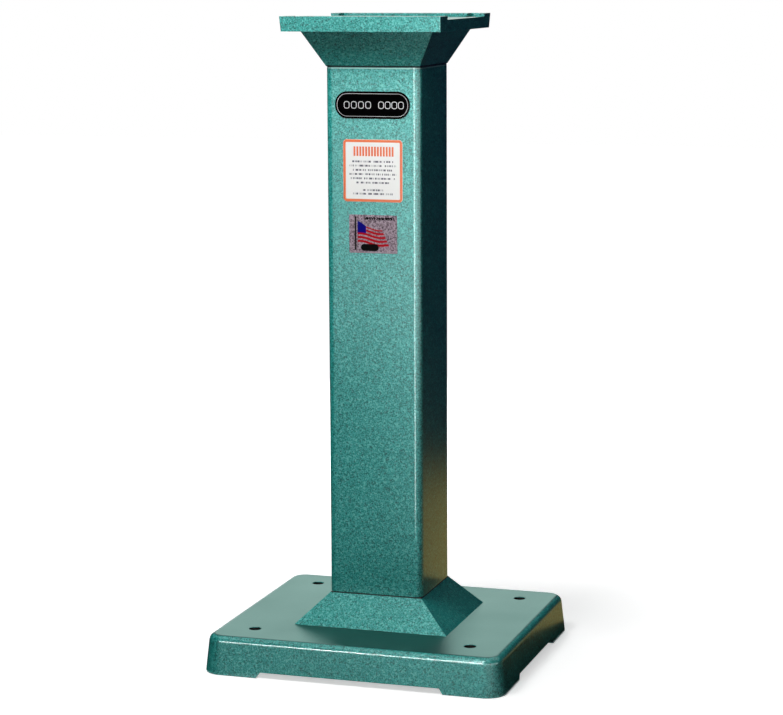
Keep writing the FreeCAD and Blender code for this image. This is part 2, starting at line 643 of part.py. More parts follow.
def build_collar_screws():
    """Four screws up through the deck into the lower collar's bosses."""
    spacing = (COLLAR_SCREW_SPACING_X, COLLAR_SCREW_SPACING_Y)
    return build_screws("collar_screws", "collar_screw", DECK_UNDERSIDE, COLLAR_SCREW_LENGTH, *spacing)


def build_plate_screws():
    """Four screws up through the flare's closed top into the machine plate's underside."""
    seat = f"({POST_HEAD} + {UPPER_CEILING})"
    spacing = (PLATE_SCREW_SPACING, PLATE_SCREW_SPACING)
    return build_screws("plate_screws", "plate_screw", seat, PLATE_SCREW_LENGTH, *spacing)


def build_flat_trim(label, family, thickness):
    """A thin plate or label flat on the post's front face; family starts the names of its sizes."""
    body = new_body(label, f"{POST_HEAD} - sizes.{family}_drop")
    body.setExpression(".Placement.Base.y", "-sizes.post_width / 2")
    outline = Sketch(body, "outline", plane="XZ_Plane")
    outline.rounded_rectangle(f"sizes.{family}_length", f"sizes.{family}_height", f"sizes.{family}_corner")
    pad(body, "sheet", outline, thickness)
    return body


def check(bodies):
    """Stop if any object failed to compute, or any piece is empty, open or invalid."""
    for thing in document.Objects:
        if {"Invalid", "Error"} & set(thing.State):
            raise RuntimeError(f"{thing.Label}: {thing.State}")
    for body in bodies:
        if body.Shape.isNull() or not body.Shape.isValid() or not body.Shape.Solids:
            raise RuntimeError(f"{body.Label}: not a valid solid")


def main():
    """Build every piece, check them all, and write one STEP file each."""
    fill_sheet()
    bodies = [
        build_base_casting(),
        build_lower_collar(),
        build_post_tube(),
        build_upper_collar(),
        build_top_plate(),
        build_tie_rod(),
        build_rod_washers(),
        build_rod_nuts(),
        build_collar_screws(),
        build_plate_screws(),
        build_flat_trim("nameplate", "nameplate", "sizes.nameplate_thickness"),
        build_flat_trim("notice_label", "notice", "sizes.label_thickness"),
        build_flat_trim("foil_label", "foil", "sizes.label_thickness"),
    ]
    document.recompute()
    check(bodies)
    os.makedirs("parts", exist_ok=True)
    for body in bodies:
        body.Shape.exportStep(f"parts/{body.Label}.step")
        box = body.Shape.BoundBox
        print(f"{body.Label}: {len(body.Shape.Solids)} solid(s), {body.Shape.Volume / 1000:.1f} cm3, "
              f"z {box.ZMin:.2f} to {box.ZMax:.2f}")


main()
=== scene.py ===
import logging
import math
from dataclasses import dataclass, field
from enum import Enum
from typing import Sequence

import bmesh
import bpy
import numpy as np
from mathutils import Matrix, Vector


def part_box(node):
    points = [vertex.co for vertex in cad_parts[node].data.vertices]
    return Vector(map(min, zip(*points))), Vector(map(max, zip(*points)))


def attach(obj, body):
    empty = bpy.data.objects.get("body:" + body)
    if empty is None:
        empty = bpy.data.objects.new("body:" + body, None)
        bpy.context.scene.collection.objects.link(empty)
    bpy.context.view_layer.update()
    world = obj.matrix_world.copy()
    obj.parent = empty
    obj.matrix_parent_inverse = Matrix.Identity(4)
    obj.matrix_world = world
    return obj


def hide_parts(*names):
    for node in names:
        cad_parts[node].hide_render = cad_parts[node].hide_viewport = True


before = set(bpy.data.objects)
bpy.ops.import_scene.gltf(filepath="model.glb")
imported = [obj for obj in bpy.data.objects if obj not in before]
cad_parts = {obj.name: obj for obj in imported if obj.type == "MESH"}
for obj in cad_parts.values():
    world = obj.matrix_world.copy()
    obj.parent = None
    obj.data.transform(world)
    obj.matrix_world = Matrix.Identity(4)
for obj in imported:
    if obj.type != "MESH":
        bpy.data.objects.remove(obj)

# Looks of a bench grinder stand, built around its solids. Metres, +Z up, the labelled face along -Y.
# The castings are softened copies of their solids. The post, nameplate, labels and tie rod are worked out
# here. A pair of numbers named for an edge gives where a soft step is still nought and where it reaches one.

log = logging.getLogger("grinder_stand")
MM = 0.001
BODY = "root"
Colour = tuple[float, float, float]
Point = tuple[float, float, float]
Pair = tuple[float, float]


def grey(level: float) -> Colour:
    """A colour with the same level in each channel."""
    return (level, level, level)


BLACK = grey(0.0)
WHITE = grey(1.0)


class Slot(Enum):
    """Material slots of the part's record."""

    ENAMEL = "hammered_enamel"
    ZINC = "zinc_plated_steel"
    STEEL = "plain_steel"
    BLACK = "black_plate"
    VINYL = "printed_vinyl"
    FOIL = "printed_foil"


class Light(Enum):
    """What a lamp gives the stand: even light on its surfaces, or a highlight in its gloss."""

    BODY = "body"
    GLOSS = "gloss"


# ---------------------------------------------------------------- shader maths


def opaque(colour: Colour) -> tuple[float, float, float, float]:
    """A colour with full alpha, as a socket takes it."""
    return (*colour, 1.0)


class Wire:
    """One value socket of a shader tree; Python operators add Math nodes to it."""

    def __init__(self, tree: "Tree", socket: bpy.types.NodeSocket) -> None:
        """Keep the socket and the tree that its new nodes go into."""
        self.tree = tree
        self.socket = socket

    def maths(self, operation: str, *terms: "Wire | float") -> "Wire":
        """Add one Math node that takes these terms in order, and give its result."""
        values = dict(enumerate(terms))
        return self.tree.node("ShaderNodeMath", {"operation": operation}, values)

    def __add__(self, other: "Wire | float") -> "Wire":
        """Sum."""
        return self.maths("ADD", self, other)

    __radd__ = __add__

    def __sub__(self, other: "Wire | float") -> "Wire":
        """Difference."""
        return self.maths("SUBTRACT", self, other)

    def __rsub__(self, other: float) -> "Wire":
        """Difference, taken from a number."""
        return self.maths("SUBTRACT", other, self)

    def __mul__(self, other: "Wire | float") -> "Wire":
        """Product."""
        return self.maths("MULTIPLY", self, other)

    __rmul__ = __mul__

    def __truediv__(self, other: "Wire | float") -> "Wire":
        """Quotient."""
        return self.maths("DIVIDE", self, other)

    def __rtruediv__(self, other: float) -> "Wire":
        """Quotient of a number."""
        return self.maths("DIVIDE", other, self)

    def __neg__(self) -> "Wire":
        """The same size with the other sign."""
        return 0.0 - self

    def __abs__(self) -> "Wire":
        """Size without its sign."""
        return self.maths("ABSOLUTE", self)

    def __gt__(self, other: "Wire | float") -> "Wire":
        """One where this is the larger, else nought."""
        return self.maths("GREATER_THAN", self, other)

    def __lt__(self, other: "Wire | float") -> "Wire":
        """One where this is the smaller, else nought."""
        return self.maths("LESS_THAN", self, other)

    def __or__(self, other: "Wire | float") -> "Wire":
        """The larger of two masks."""
        return self.maths("MAXIMUM", self, other)

    __ror__ = __or__

    def root(self) -> "Wire":
        """Square root."""
        return self.maths("SQRT", self)

    def floor(self) -> "Wire":
        """Whole number below."""
        return self.maths("FLOOR", self)

    def sine(self) -> "Wire":
        """Sine of an angle in radians."""
        return self.maths("SINE", self)

    def wrap(self, step: float) -> "Wire":
        """Remainder from nought up to a step."""
        return self.maths("WRAP", self, step, 0.0)

    def ramp(self, low: float, high: float) -> "Wire":
        """Smooth rise from nought at low to one at high."""
        sockets = {"Value": self, "From Min": low, "From Max": high}
        return self.tree.node("ShaderNodeMapRange", {"interpolation_type": "SMOOTHSTEP"}, sockets)

    def within(self, middle: float, half: float, soft: float) -> "Wire":
        """One nearer to a middle than half a width, nought past it, over a soft edge to both sides."""
        return (abs(self - middle) - half).ramp(soft, -soft)


def hypotenuse(across: Wire, up: Wire) -> Wire:
    """Root of the sum of two squares."""
    return (across * across + up * up).root()


class Tree:
    """A material's or the world's node tree, emptied and ready for new nodes."""

    def __init__(
        self, owner: bpy.types.Material | bpy.types.World, output: str = "ShaderNodeOutputMaterial"
    ) -> None:
        """Turn nodes on, clear them and add the output.

        Args:
            owner: the material or world.
            output: the output node's type.
        """
        owner.use_nodes = True
        self.tree = owner.node_tree
        self.tree.nodes.clear()
        self.output = self.tree.nodes.new(output)

    def node(
        self, kind: str, settings: dict[str, object], sockets: dict[str | int, object], result: str | int = 0
    ) -> Wire:
        """Add a node: its settings first, then a value or link for each named socket.

        Args:
            kind: the node's type.
            settings: properties set before the sockets, such as an operation.
            sockets: input names or numbers with numbers, tuples or wires.
            result: the output to return.

        Returns:
            That output.
        """
        made = self.tree.nodes.new(kind)
        for name, value in settings.items():
            setattr(made, name, value)
        for name, value in sockets.items():
            if isinstance(value, Wire):
                self.tree.links.new(value.socket, made.inputs[name])
            else:
                made.inputs[name].default_value = value
        return Wire(self, made.outputs[result])

    def place(self) -> tuple[Wire, Wire, Wire]:
        """Split object coordinates into three values.

        Returns:
            x, y and z in millimetres.
        """
        sockets = {0: self.object_point(), "Scale": 1 / MM}
        scaled = self.node("ShaderNodeVectorMath", {"operation": "SCALE"}, sockets)
        return tuple(self.node("ShaderNodeSeparateXYZ", {}, {0: scaled}, axis) for axis in "XYZ")

    def object_point(self) -> Wire:
        """Object coordinates as a vector, in metres."""
        return self.node("ShaderNodeTexCoord", {}, {}, "Object")

    def reach(self) -> Wire:
        """Distance from the origin, in metres."""
        return self.node("ShaderNodeVectorMath", {"operation": "LENGTH"}, {0: self.object_point()}, "Value")

    def noise(self, size_mm: float, detail: float = 2.0) -> Wire:
        """Soft noise of about that grain, from nought to one."""
        sockets = {"Vector": self.object_point(), "Scale": 1 / (size_mm * MM), "Detail": detail}
        return self.node("ShaderNodeTexNoise", {}, sockets, "Fac")

    def cells(self, size_mm: float, result: str = "Distance") -> Wire:
        """Distance to, or colour of, the nearest cell centre."""
        sockets = {"Vector": self.object_point(), "Scale": 1 / (size_mm * MM)}
        return self.node("ShaderNodeTexVoronoi", {}, sockets, result)

    def scatter(self, number: Wire) -> Wire:
        """A random value, nought to one, for each number."""
        return self.node("ShaderNodeTexWhiteNoise", {"noise_dimensions": "1D"}, {"W": number}, "Value")

    def upward(self) -> Wire:
        """How far the surface faces up, from minus one to one."""
        normal = self.node("ShaderNodeNewGeometry", {}, {}, "Normal")
        return self.node("ShaderNodeSeparateXYZ", {}, {0: normal}, "Z")

    def tint(self, factor: Wire | float, first: Colour | Wire, second: Colour | Wire) -> Wire:
        """Mix two colours: the first at nought, the second at one."""
        ends = [end if isinstance(end, Wire) else opaque(end) for end in (first, second)]
        return self.node("ShaderNodeMix", {"data_type": "RGBA"}, {0: factor, 6: ends[0], 7: ends[1]}, 2)

    def bump(self, height: Wire, depth_mm: float, strength: float = 1.0) -> Wire:
        """A normal roughened by a height of nought to one over a depth."""
        sockets = {"Strength": strength, "Distance": depth_mm * MM, "Height": height}
        return self.node("ShaderNodeBump", {}, sockets)

    def finish(self, shader: Wire) -> None:
        """Join the shader to the output."""
        self.tree.links.new(shader.socket, self.output.inputs["Surface"])


# ---------------------------------------------------------------- finishes


@dataclass(frozen=True)
class BoltHoles:
    """The four floor bolt holes of the base, in millimetres; the edge is measured past the radius."""

    across: float = 146.0
    along: float = 124.0
    radius: float = 8.0
    top: float = 49.2
    edge: Pair = (0.5, 0.3)

    def mask(self, tree: Tree) -> Wire:
        """Mark the bores: points below the deck that lie nearer to a hole's axis than its radius.

        Args:
            tree: the material's tree.

        Returns:
            One in a bore, nought elsewhere.
        """
        x, y, z = tree.place()
        from_axis = hypotenuse(abs(x) - self.across, abs(y) - self.along)
        return from_axis.ramp(self.radius + self.edge[0], self.radius + self.edge[1]) * (z < self.top)


@dataclass(frozen=True)
class HammeredEnamel:
    """Blue-green hammered enamel: metal flakes under clear lacquer, dimpled, and calmer on level faces."""

    foot_seam_mm: float
    head_seam_mm: float
    holes: BoltHoles = BoltHoles()

    # Colours. The last four: sheen of level faces, painted shade in the bolt holes and at the seams, painted
    # highlight under the flare.
    ground: Colour = (0.008, 0.285, 0.250)
    deep: Colour = (0.001, 0.095, 0.090)
    flake: Colour = (0.090, 0.480, 0.450)
    level_ground: Colour = (0.008, 0.064, 0.060)
    level_sheen: Colour = (0.68, 1.00, 0.90)
    # Painted shade: near black inside the bolt bores.
    bore_shade: Colour = (0.002, 0.002, 0.002)
    # Painted shade: near black, laid in a band round the height of each seam.
    seam_shade: Colour = (0.001, 0.008, 0.010)
    # Painted highlight: a pale line just under the flare, where the post's top edge would catch light.
    painted_highlight: Colour = (0.380, 0.640, 0.610)

    # Grain sizes in millimetres, and the share of cells and of noise that turns bright or dark.
    cell_mm: float = 2.0
    flake_mm: float = 1.6
    fine_mm: float = 0.9
    patch_mm: float = 70.0
    flake_detail: float = 2.5
    soft_detail: float = 1.0
    flake_edge: Pair = (0.44, 0.66)
    flake_share: float = 0.75
    deep_edge: Pair = (0.48, 0.32)
    bright_cells_from: float = 0.88
    dark_cells_to: float = 0.10
    grain_cover: float = 0.80

    # Painted shade at the seams and a painted highlight line under the flare, round the post, in millimetres.
    seam_shade_edge: Pair = (1.4, 0.7)
    painted_highlight_edge: Pair = (0.9, 0.5)
    painted_highlight_below: float = 2.1
    painted_highlight_cover: float = 0.8

    # Relief and gloss.
    dimple_mm: float = 0.14
    dimple_edge: Pair = (0.0, 0.75)
    fine_share: float = 0.25
    roughness: float = 0.42
    roughness_by_grain: float = 0.14
    roughness_by_patch: float = 0.08
    flake_metal: float = 0.12
    flake_gloss: float = 0.25
    ior: float = 1.5
    lacquer: float = 1.0
    lacquer_roughness: float = 0.18
    upward_edge: Pair = (0.90, 0.995)
    level_roughness: float = 0.30
    level_metal: float = 0.60
    level_dimple_mm: float = 0.028

    def grains(self, tree: Tree, grain: Wire) -> tuple[Wire, Wire]:
        """Mark flakes and dark grains: steps of the noise, and cells whose random value is near one end.

        Args:
            tree: the material's tree.
            grain: noise of the flakes' size.

        Returns:
            Masks of the flakes and of the dark grains.
        """
        pick = tree.node("ShaderNodeSeparateColor", {}, {0: tree.cells(self.cell_mm, "Color")}, 0)
        flakes = grain.ramp(*self.flake_edge) * self.flake_share | (pick > self.bright_cells_from)
        dark = grain.ramp(*self.deep_edge) | (pick < self.dark_cells_to)
        return flakes, dark

    def paint(self, tree: Tree, flakes: Wire, dark: Wire, in_hole: Wire) -> Wire:
        """Lay dark grains, flakes, painted shade at both seams, a painted highlight under the flare and
        painted shade in the bores, in turn.

        Args:
            tree: the material's tree.
            flakes: mask of the flakes.
            dark: mask of the dark grains.
            in_hole: mask of the bores.

        Returns:
            The enamel's colour.
        """
        _, _, z = tree.place()
        colour = tree.tint(dark * self.grain_cover, self.ground, self.deep)
        colour = tree.tint(flakes * self.grain_cover, colour, self.flake)
        for level in (self.foot_seam_mm, self.head_seam_mm):
            # Painted shade: a dark band round the height of each seam at the post's foot and head.
            colour = tree.tint(abs(z - level).ramp(*self.seam_shade_edge), colour, self.seam_shade)
        # Painted highlight: a pale band just under the head seam.
        rubbed = abs(z - (self.head_seam_mm - self.painted_highlight_below)).ramp(*self.painted_highlight_edge)
        colour = tree.tint(rubbed * self.painted_highlight_cover, colour, self.painted_highlight)
        # Painted shade: the bolt bores go near black.
        return tree.tint(in_hole, colour, self.bore_shade)

    def material(self) -> bpy.types.Material:
        """Mix a lively shader with a level one by how far a face looks up.

        Height is a ramp of the distance to the nearest cell centre plus a share of fine noise.

        Returns:
            The material.
        """
        made = bpy.data.materials.new(Slot.ENAMEL.value)
        tree = Tree(made)
        grain = tree.noise(self.flake_mm, self.flake_detail)
        patch = tree.noise(self.patch_mm, self.soft_detail) * self.roughness_by_patch
        flakes, dark = self.grains(tree, grain)
        in_hole = self.holes.mask(tree)
        painted = 1 - in_hole
        height = tree.cells(self.cell_mm).ramp(*self.dimple_edge)
        height = height + tree.noise(self.fine_mm, self.soft_detail) * self.fine_share
        lively = tree.node("ShaderNodeBsdfPrincipled", {}, {
            "Base Color": self.paint(tree, flakes, dark, in_hole),
            "Roughness": self.roughness + self.roughness_by_grain * (grain - 0.5) + patch,
            "IOR": self.ior,
            "Metallic": flakes * self.flake_metal * painted,
            "Coat Weight": self.lacquer * painted,
            "Coat Roughness": self.lacquer_roughness,
            "Specular IOR Level": self.flake_gloss,
            "Normal": tree.bump(height, self.dimple_mm),
        })
        level = tree.node("ShaderNodeBsdfPrincipled", {}, {
            # Painted shade: the bolt bores go near black on level faces too.
            "Base Color": tree.tint(in_hole, self.level_ground, self.bore_shade),
            "Roughness": self.level_roughness + patch,
            "Metallic": self.level_metal * painted,
            "Specular Tint": opaque(self.level_sheen),
            "Normal": tree.bump(height, self.level_dimple_mm),
        })
        calm = tree.upward().ramp(*self.upward_edge)
        tree.finish(tree.node("ShaderNodeMixShader", {}, {0: calm, 1: lively, 2: level}))
        return made


@dataclass(frozen=True)
class Metal:
    """Bare or plated steel with fine grain, faint stains and scuffs."""

    slot: Slot
    colour: Colour
    stain: Colour
    roughness: float
    stain_mm: float = 9.0
    stain_detail: float = 3.0
    stain_edge: Pair = (0.45, 0.75)
    roughness_by_stain: float = 0.15
    grain_mm: float = 0.35
    roughness_by_grain: float = 0.20
    relief_mm: float = 0.02
    relief: float = 0.6

    def material(self) -> bpy.types.Material:
        """Blend two tones by a broad noise; a fine one moves the roughness and gives a slight bump.

        Returns:
            The material.
        """
        made = bpy.data.materials.new(self.slot.value)
        tree = Tree(made)
        broad = tree.noise(self.stain_mm, self.stain_detail)
        fine = tree.noise(self.grain_mm)
        rough = self.roughness + self.roughness_by_grain * (fine - 0.5) + self.roughness_by_stain * broad
        tree.finish(tree.node("ShaderNodeBsdfPrincipled", {}, {
            "Base Color": tree.tint(broad.ramp(*self.stain_edge), self.colour, self.stain),
            "Metallic": 1.0,
            "Roughness": rough,
            "Normal": tree.bump(fine, self.relief_mm, self.relief),
        }))
        return made


@dataclass(frozen=True)
class BlackPlate:
    """Pressed nameplate: dull black ground, its raised lines rubbed back to bright metal."""

    bright_from_mm: float
    bright_soft_mm: float = 0.04
    ground: Colour = (0.001, 0.001, 0.001)
    bright: Colour = (0.58, 0.60, 0.62)
    bright_least: float = 0.75
    bright_metal: float = 0.6
    scuff_mm: float = 1.2
    scuff_detail: float = 3.0
    roughness: float = 0.42
    roughness_by_scuff: float = 0.12
    sheen: float = 0.0
    relief_mm: float = 0.01
    relief: float = 0.5

    def material(self) -> bpy.types.Material:
        """Brighten what stands further out along -Y than the given level; the rest is black.

        Returns:
            The material.
        """
        made = bpy.data.materials.new(Slot.BLACK.value)
        tree = Tree(made)
        _, y, _ = tree.place()
        start, soft = self.bright_from_mm, self.bright_soft_mm
        raised = (-y).ramp(start - soft, start + soft)
        scuff = tree.noise(self.scuff_mm, self.scuff_detail)
        rubbed = raised * (self.bright_least + (1 - self.bright_least) * scuff)
        tree.finish(tree.node("ShaderNodeBsdfPrincipled", {}, {
            "Base Color": tree.tint(rubbed, self.ground, self.bright),
            "Metallic": raised * self.bright_metal,
            "Roughness": self.roughness + self.roughness_by_scuff * scuff,
            "Specular IOR Level": self.sheen,
            "Normal": tree.bump(scuff, self.relief_mm, self.relief),
        }))
        return made


@dataclass(frozen=True)
class Print:
    """A flat label's printable face: its middle height, half sizes and corner radius, in millimetres."""

    middle_z: float
    half_x: float
    half_z: float
    corner: float

    def inset(self, tree: Tree) -> Wire:
        """Depth inside the label's rounded outline: the corner radius less the distance to its inner box.

        Args:
            tree: the material's tree.

        Returns:
            Millimetres in from the outline, below nought outside it.
        """
        x, _, z = tree.place()
        past_x = (abs(x) - (self.half_x - self.corner)) | 0.0
        past_z = (abs(z - self.middle_z) - (self.half_z - self.corner)) | 0.0
        return self.corner - hypotenuse(past_x, past_z)

    def bar(self, tree: Tree, x: Pair, z: Pair, soft: float = 0.15) -> Wire:
        """Mask of an upright box between two x and two z, both from the label's middle.

        Args:
            tree: the material's tree.
            x: left and right end, in millimetres.
            z: lower and upper end.
            soft: width of its edge.

        Returns:
            One inside, nought outside.
        """
        across, _, up = tree.place()
        in_x = across.within(sum(x) / 2, (x[1] - x[0]) / 2, soft)
        in_z = up.within(self.middle_z + sum(z) / 2, (z[1] - z[0]) / 2, soft)
        return in_x * in_z

    def pill(self, tree: Tree, x: Pair, z: Pair, soft: float = 0.15) -> Wire:
        """Mask of a bar with round ends: points nearer to its middle line than half its height.

        Args:
            tree: the material's tree.
            x: left and right end, in millimetres.
            z: lower and upper side, from the label's middle.
            soft: width of its edge.

        Returns:
            One inside, nought outside.
        """
        across, _, up = tree.place()
        radius = (z[1] - z[0]) / 2
        past_x = (abs(across - sum(x) / 2) - ((x[1] - x[0]) / 2 - radius)) | 0.0
        past_z = up - (self.middle_z + sum(z) / 2)
        return (hypotenuse(past_x, past_z) - radius).ramp(soft, -soft)


@dataclass(frozen=True)
class NoticePrint:
    """White vinyl with an orange border, upright orange bars and rows of navy strokes, with no words."""

    area: Print
    white: Colour = (0.86, 0.86, 0.84)
    orange: Colour = (0.76, 0.14, 0.025)
    navy: Colour = (0.010, 0.010, 0.045)

    # Orange border and bars, in millimetres from the label's middle.
    border_outer_edge: Pair = (0.1, 0.3)
    border_inner_edge: Pair = (3.65, 3.35)
    header_x: Pair = (-27.0, 28.0)
    header_z: Pair = (18.6, 30.8)
    header_step: float = 3.93
    header_edge: Pair = (1.1, 1.5)

    # Navy strokes: each row is a level and half a length, cut into strokes and words.
    stroke: float = 0.62
    strokes_left_out: float = 0.36
    word: float = 8.3
    word_shift: float = 3.7
    word_edge: Pair = (0.9, 1.2)
    row_half: float = 1.15
    row_seed: float = 100.0
    ink: float = 0.92
    rows: tuple[Pair, ...] = (
        (11.7, 27.5), (6.4, 31.0), (0.9, 26.5), (-4.4, 32.0),
        (-9.8, 29.5), (-15.2, 22.0), (-24.7, 14.0), (-29.4, 26.5),
    )
    roughness: float = 0.42
    roughness_by_noise: float = 0.1
    roughness_grain_mm: float = 3.0
    relief_grain_mm: float = 6.0
    relief_mm: float = 0.03
    relief: float = 0.5

    def strokes(self, tree: Tree) -> Wire:
        """Mark the rows: strokes kept by a random value for each step along x, with gaps between words.

        Args:
            tree: the material's tree.

        Returns:
            One on a stroke, nought elsewhere.
        """
        x, _, _ = tree.place()
        cell = (x / self.stroke).floor()
        rows: Wire | float = 0.0
        for index, (level, half) in enumerate(self.rows):
            kept = tree.scatter(cell + self.row_seed * index) > self.strokes_left_out
            words = (x + self.word_shift * index).wrap(self.word).ramp(*self.word_edge)
            row = self.area.bar(tree, (-half, half), (level - self.row_half, level + self.row_half))
            rows = row * (kept * words) | rows
        return rows

    def material(self) -> bpy.types.Material:
        """Lay the border, the bars and the strokes over white in turn.

        Returns:
            The material.
        """
        made = bpy.data.materials.new(Slot.VINYL.value)
        tree = Tree(made)
        x, _, _ = tree.place()
        depth = self.area.inset(tree)
        border = depth.ramp(*self.border_outer_edge) * depth.ramp(*self.border_inner_edge)
        bars = (x - self.header_x[0]).wrap(self.header_step).ramp(*self.header_edge)
        header = self.area.bar(tree, self.header_x, self.header_z) * bars
        colour = tree.tint(border | header, self.white, self.orange)
        tree.finish(tree.node("ShaderNodeBsdfPrincipled", {}, {
            "Base Color": tree.tint(self.strokes(tree) * self.ink, colour, self.navy),
            "Roughness": self.roughness + self.roughness_by_noise * tree.noise(self.roughness_grain_mm),
            "Normal": tree.bump(tree.noise(self.relief_grain_mm), self.relief_mm, self.relief),
        }))
        return made


@dataclass(frozen=True)
class Banner:
    """A waving striped cloth with a plain field at its staff, in millimetres from the label's middle."""

    blue: Colour = (0.001, 0.001, 0.20)
    red: Colour = (0.46, 0.003, 0.012)
    wave_height: float = 1.5
    wave_turn: float = 0.15
    wave_start: float = 0.6
    fall: float = 0.10
    fly_lean: float = 0.46
    fly_edge: Pair = (15.1, 14.1)
    hoist_edge: Pair = (-21.2, -20.6)
    low_edge: Pair = (-14.4, -14.0)
    high_edge: Pair = (7.8, 7.4)
    stripe_step: float = 4.9
    stripe_low_edge: Pair = (0.8, 1.2)
    stripe_high_edge: Pair = (4.1, 3.7)
    field_hoist_edge: Pair = (-21.2, -20.8)
    field_fly_edge: Pair = (-9.0, -9.7)
    field_low_edge: Pair = (-1.5, -1.0)
    field_high_edge: Pair = (3.7, 2.9)
    field_lean: float = 0.5

    def lay(self, tree: Tree, area: Print, colour: Wire) -> Wire:
        """Lay red waves with foil between them, and a blue field at the staff, over a colour.

        Height on the cloth is height on the label plus a sine of x and a small share of x.

        Args:
            tree: the material's tree.
            area: the label's printable face.
            colour: what lies under the banner.

        Returns:
            The colour with the banner on it.
        """
        x, _, z = tree.place()
        up = z - area.middle_z
        wave = up + self.wave_height * (x * self.wave_turn + self.wave_start).sine() + self.fall * x
        fly = (x + self.fly_lean * up).ramp(*self.fly_edge) * x.ramp(*self.hoist_edge)
        cloth = fly * wave.ramp(*self.low_edge) * wave.ramp(*self.high_edge)
        in_step = wave.wrap(self.stripe_step)
        stripes = in_step.ramp(*self.stripe_low_edge) * in_step.ramp(*self.stripe_high_edge)
        colour = tree.tint(cloth * stripes, colour, self.red)
        along = x.ramp(*self.field_hoist_edge) * x.ramp(*self.field_fly_edge)
        upright = wave.ramp(*self.field_low_edge) * (wave + self.field_lean * x).ramp(*self.field_high_edge)
        return tree.tint(along * upright, colour, self.blue)


@dataclass(frozen=True)
class FoilPrint:
    """Speckled grey-mauve foil with a striped banner on a thin staff, a row of marks and a dark obround."""

    area: Print
    banner: Banner = Banner()
    ground: Colour = (0.24, 0.175, 0.215)
    speck: Colour = (0.47, 0.38, 0.44)
    dark: Colour = (0.001, 0.001, 0.001)

    # Speckle: noise over its middle is pale, under it dark.
    speckle_mm: float = 1.7
    pale_edge: Pair = (0.44, 0.62)
    dark_edge: Pair = (0.44, 0.33)
    dark_cover: float = 0.65

    # Marks, each left and right then lower and upper, in millimetres from the label's middle.
    tick_mm: float = 1.6
    tick_detail: float = 0.0
    tick_edge: Pair = (0.38, 0.43)
    ticks: tuple[Pair, Pair] = ((-12.0, 27.8), (18.2, 21.8))
    staff: tuple[Pair, Pair] = ((-24.8, -22.6), (-21.0, 22.4))
    obround: tuple[Pair, Pair] = ((-16.5, 7.5), (-21.8, -12.8))
    pale_rim: tuple[Pair, Pair] = ((-31.6, 31.6), (-24.2, -23.2))
    mark_soft: float = 0.2
    rim_soft: float = 0.3

    sheen: float = 0.02
    roughness: float = 0.40
    roughness_by_speckle: float = 0.2
    relief_mm: float = 0.03
    relief: float = 0.7

    def marks(self, tree: Tree) -> Wire:
        """Mark what is printed in black: broken ticks, the staff and the obround.

        Args:
            tree: the material's tree.

        Returns:
            One on a mark, nought elsewhere.
        """
        broken = tree.noise(self.tick_mm, self.tick_detail).ramp(*self.tick_edge)
        ticks = self.area.bar(tree, *self.ticks, self.mark_soft) * broken
        staff = self.area.bar(tree, *self.staff, self.mark_soft)
        return ticks | staff | self.area.pill(tree, *self.obround)

    def material(self) -> bpy.types.Material:
        """Speckle the foil with fine noise, then lay the banner, the marks and the pale lower rim over it.

        Returns:
            The material.
        """
        made = bpy.data.materials.new(Slot.FOIL.value)
        tree = Tree(made)
        speckle = tree.noise(self.speckle_mm)
        colour = tree.tint(speckle.ramp(*self.pale_edge), self.ground, self.speck)
        colour = tree.tint(speckle.ramp(*self.dark_edge) * self.dark_cover, colour, self.dark)
        colour = self.banner.lay(tree, self.area, colour)
        colour = tree.tint(self.marks(tree), colour, self.dark)
        rim = self.area.bar(tree, *self.pale_rim, self.rim_soft)
        tree.finish(tree.node("ShaderNodeBsdfPrincipled", {}, {
            "Base Color": tree.tint(rim, colour, self.speck),
            "Specular IOR Level": self.sheen,
            "Roughness": self.roughness + self.roughness_by_speckle * speckle,
            "Normal": tree.bump(speckle, self.relief_mm, self.relief),
        }))
        return made


# ---------------------------------------------------------------- surfaces


def surface(name: str, sheets: Sequence[np.ndarray], wrap: tuple[bool, bool]) -> bpy.types.Object:
    """Make an object from grids of points.

    Point (i, j) of a grid joins (i + 1, j), (i + 1, j + 1) and (i, j + 1) in one face. Doubles are merged, so
    a row drawn to a point or a line closes, and normals are then turned outwards.

    Args:
        name: the piece's name.
        sheets: grids of shape (rows, columns, 3), in metres.
        wrap: whether the last row joins the first, and the last column the first.

    Returns:
        The object, in the scene at the origin.
    """
    points, faces, start = [], [], 0
    for grid in sheets:
        rows, columns = grid.shape[:2]
        i = np.arange(rows if wrap[0] else rows - 1)[:, None]
        j = np.arange(columns if wrap[1] else columns - 1)[None, :]
        below, beside = (i + 1) % rows, (j + 1) % columns
        corners = (i * columns + j, below * columns + j, below * columns + beside, i * columns + beside)
        faces.append(start + np.stack(np.broadcast_arrays(*corners), axis=-1).reshape(-1, 4))
        points.append(grid.reshape(-1, 3))
        start += rows * columns
    mesh = bpy.data.meshes.new(name)
    mesh.from_pydata(np.concatenate(points).tolist(), [], np.concatenate(faces).tolist())
    clean(mesh, flatten=False)
    return in_scene(name, mesh)


def in_scene(name: str, data: bpy.types.ID) -> bpy.types.Object:
    """Put a mesh, lamp or camera into the scene.

    Args:
        name: the object's name.
        data: what it holds.

    Returns:
        The object, at the origin.
    """
    made = bpy.data.objects.new(name, data)
    bpy.context.scene.collection.objects.link(made)
    return made


